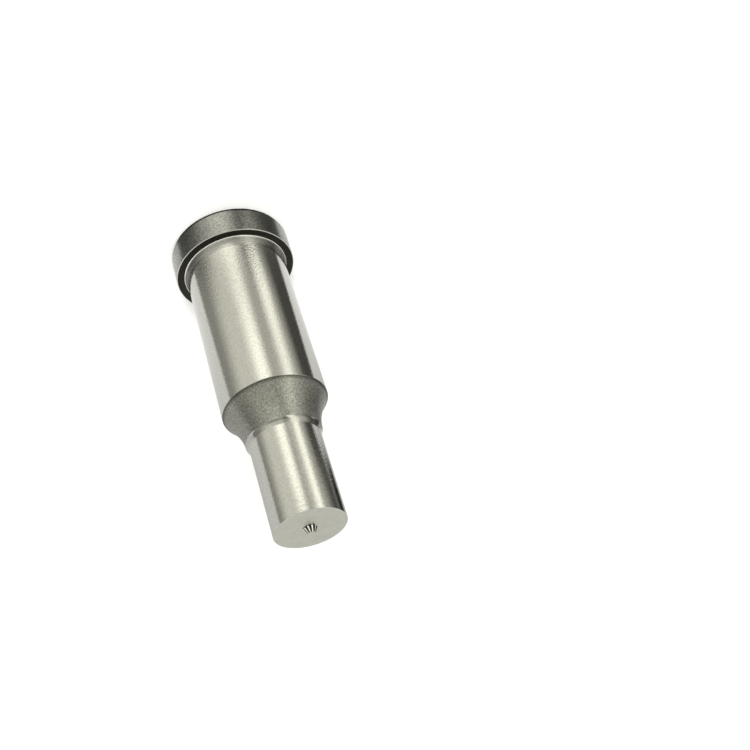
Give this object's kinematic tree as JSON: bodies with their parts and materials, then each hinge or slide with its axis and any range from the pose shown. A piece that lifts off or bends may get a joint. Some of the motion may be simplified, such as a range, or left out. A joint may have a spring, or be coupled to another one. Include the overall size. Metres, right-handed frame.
{
  "type": "turret punch",
  "caption": "Round headed punch for a turret press: flat head, ground shank, hollow swept shoulder and a slim round cutting tip with a raised centre point.",
  "frame": {"origin": "centre of the flat back of the head, which the punch stands on", "axes": "+Z along the punch's axis, from the back of the head to the cutting face; X and Y are any two directions square to it"},
  "size_m": [0.0263, 0.0262, 0.0742],
  "materials": {
    "tool_steel": "hardened tool steel: satin ground on the shank, tip and cutting face, matte dark grey on the head and the swept shoulder"
  },
  "bodies": {
    "root": {"punch": "tool_steel"}
  },
  "joints": []
}
